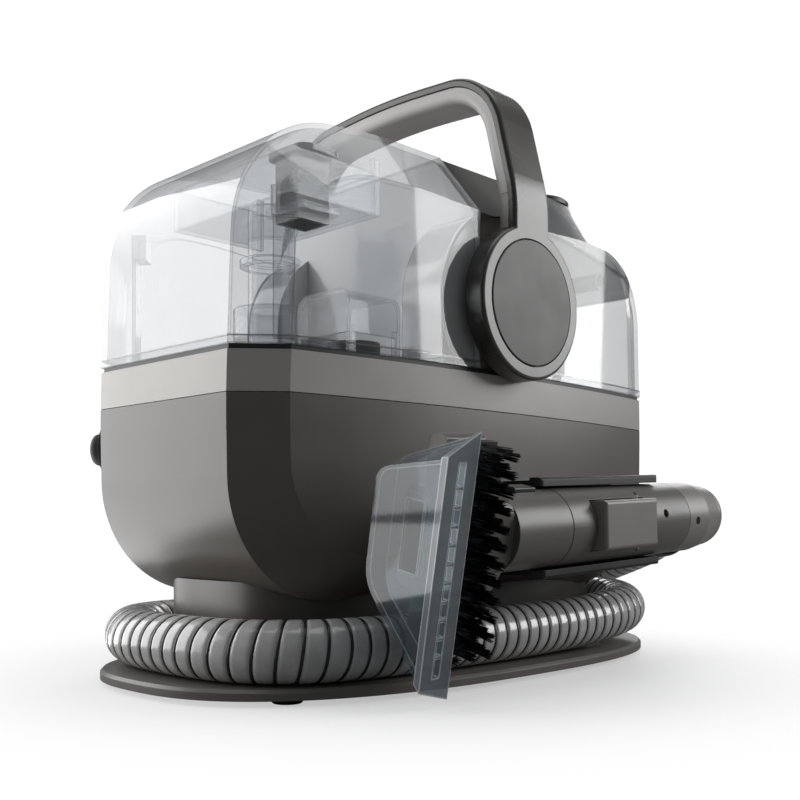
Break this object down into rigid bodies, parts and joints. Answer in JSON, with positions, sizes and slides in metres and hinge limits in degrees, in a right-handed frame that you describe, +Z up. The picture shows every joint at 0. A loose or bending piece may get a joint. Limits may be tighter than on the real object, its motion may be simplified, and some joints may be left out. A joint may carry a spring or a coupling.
{
  "type": "spot extractor",
  "caption": "Portable spot extractor with two lift-off smoked tanks, a bail handle, a hose wound round its base and a clip-on brush and suction tool.",
  "frame": {"origin": "centre of the housing on the plane that the rubber feet stand on", "axes": "+Z up; -Y towards the recovery tank end; +X towards the long side that carries the hand tool"},
  "size_m": [0.2748, 0.4183, 0.3558],
  "materials": {
    "housing_taupe": "semi-gloss moulded plastic",
    "band_grey": "semi-gloss moulded plastic",
    "dark_trim": "satin dark plastic",
    "smoked_clear": "clear smoked moulded plastic",
    "smoked_dark": "dark smoked moulded plastic",
    "hose_grey": "ribbed flexible hose",
    "black_rubber": "matt rubber",
    "bristle_black": "nylon tufts",
    "tool_grey": "semi-gloss moulded plastic",
    "handle_grey": "satin moulded plastic",
    "steel": "plain steel",
    "motor_metal": "cast motor can",
    "board_green": "circuit board",
    "white_plastic": "plain moulded plastic"
  },
  "bodies": {
    "root": {"base_plate": "housing_taupe", "rubber_feet": "black_rubber", "pedestal": "dark_trim", "hose_port": "dark_trim", "lower_shell": "housing_taupe", "middle_band": "band_grey", "deck_plate": "dark_trim", "tank_seals": "black_rubber", "exhaust_grille": "dark_trim", "cord_inlet": "black_rubber", "button_bezel": "dark_trim", "fan_housing": "white_plastic", "vacuum_motor": "motor_metal", "motor_mount": "black_rubber", "air_duct": "white_plastic", "inlet_pipe": "dark_trim", "water_pump": "dark_trim", "control_board": "board_green", "valve_socket": "white_plastic", "solution_pipe": "white_plastic", "housing_screws": "steel", "center_spine": "housing_taupe", "spine_bosses": "band_grey", "pivot_pins": "steel", "pivot_screws": "steel", "tool_cradle": "dark_trim", "suction_hose": "hose_grey"},
    "button": {"power_button": "black_rubber"},
    "fan": {"impeller": "white_plastic"},
    "handle": {"handle_shell": "handle_grey", "handle_grip": "tool_grey", "hub_caps": "handle_grey"},
    "recovery_tank": {"recovery_tank_shell": "smoked_clear", "recovery_tank_base": "smoked_clear", "recovery_separator": "smoked_clear", "recovery_drop_duct": "smoked_dark", "recovery_inlet_cap": "smoked_dark", "air_standpipe": "smoked_clear", "inlet_hood": "smoked_clear", "corner_ribs": "smoked_clear"},
    "float": {"recovery_float": "white_plastic"},
    "clean_tank": {"clean_tank_shell": "smoked_clear", "clean_tank_lid": "smoked_dark", "clean_tank_base": "smoked_clear", "cap_pin": "steel", "vent_tube": "dark_trim", "valve_spring": "steel"},
    "cap": {"fill_cap": "dark_trim"},
    "valve": {"valve_plunger": "dark_trim"},
    "wand": {"wand_grip": "tool_grey", "wand_cuff": "tool_grey", "hose_elbow": "dark_trim", "trigger_pin": "steel"},
    "trigger": {"trigger": "tool_grey"},
    "head": {"head_neck": "tool_grey", "brush_block": "bristle_black", "bristle_tufts": "bristle_black", "suction_hood": "smoked_clear", "mouth_plate": "smoked_dark"},
    "latch": {"head_latch": "dark_trim"}
  },
  "joints": [
    {"name": "handle_pivot", "type": "hinge", "parent": "root", "child": "handle", "pos_m": [0, 0.0015, 0.2145], "axis": [1, 0, 0], "range_deg": [-20, 20]},
    {"name": "recovery_tank_lift", "type": "slide", "parent": "root", "child": "recovery_tank", "axis": [0, 0, -1], "range_m": [-0.14, 0]},
    {"name": "clean_tank_lift", "type": "slide", "parent": "root", "child": "clean_tank", "axis": [0, 0, 1], "range_m": [0, 0.14]},
    {"name": "fill_cap_hinge", "type": "hinge", "parent": "clean_tank", "child": "cap", "pos_m": [0.034, 0.0665, 0.3056], "axis": [1, 0, 0], "range_deg": [0, 100]},
    {"name": "float_rise", "type": "slide", "parent": "recovery_tank", "child": "float", "axis": [0, 0, 1], "range_m": [0, 0.024]},
    {"name": "valve_press", "type": "slide", "parent": "clean_tank", "child": "valve", "axis": [0, 0, 1], "range_m": [0, 0.004], "stiffness_N_per_m": 180, "deforming": ["valve_spring"]},
    {"name": "power_button_press", "type": "slide", "parent": "root", "child": "button", "axis": [0.7554, 0.6553, 0], "range_m": [0, 0.003], "stiffness_N_per_m": 500},
    {"name": "impeller_spin", "type": "hinge", "parent": "root", "child": "fan", "pos_m": [0, 0.022, 0.07], "axis": [0, 0, 1], "continuous": true},
    {"name": "wand_unclip", "type": "slide", "parent": "root", "child": "wand", "axis": [1, 0, 0], "range_m": [0, 0.04], "deforming": ["suction_hose"]},
    {"name": "trigger_press", "type": "hinge", "parent": "wand", "child": "trigger", "pos_m": [0.132, 0.06795, 0.08944], "axis": [0, -0.0436, 0.999], "range_deg": [-5, 0], "stiffness_Nm_per_rad": 0.5},
    {"name": "head_release", "type": "slide", "parent": "wand", "child": "head", "axis": [0, -0.999, -0.0436], "range_m": [0, 0.03]},
    {"name": "head_latch_press", "type": "slide", "parent": "head", "child": "latch", "axis": [-0.2079, 0.0427, -0.9772], "range_m": [0, 0.0015], "stiffness_N_per_m": 600}
  ]
}
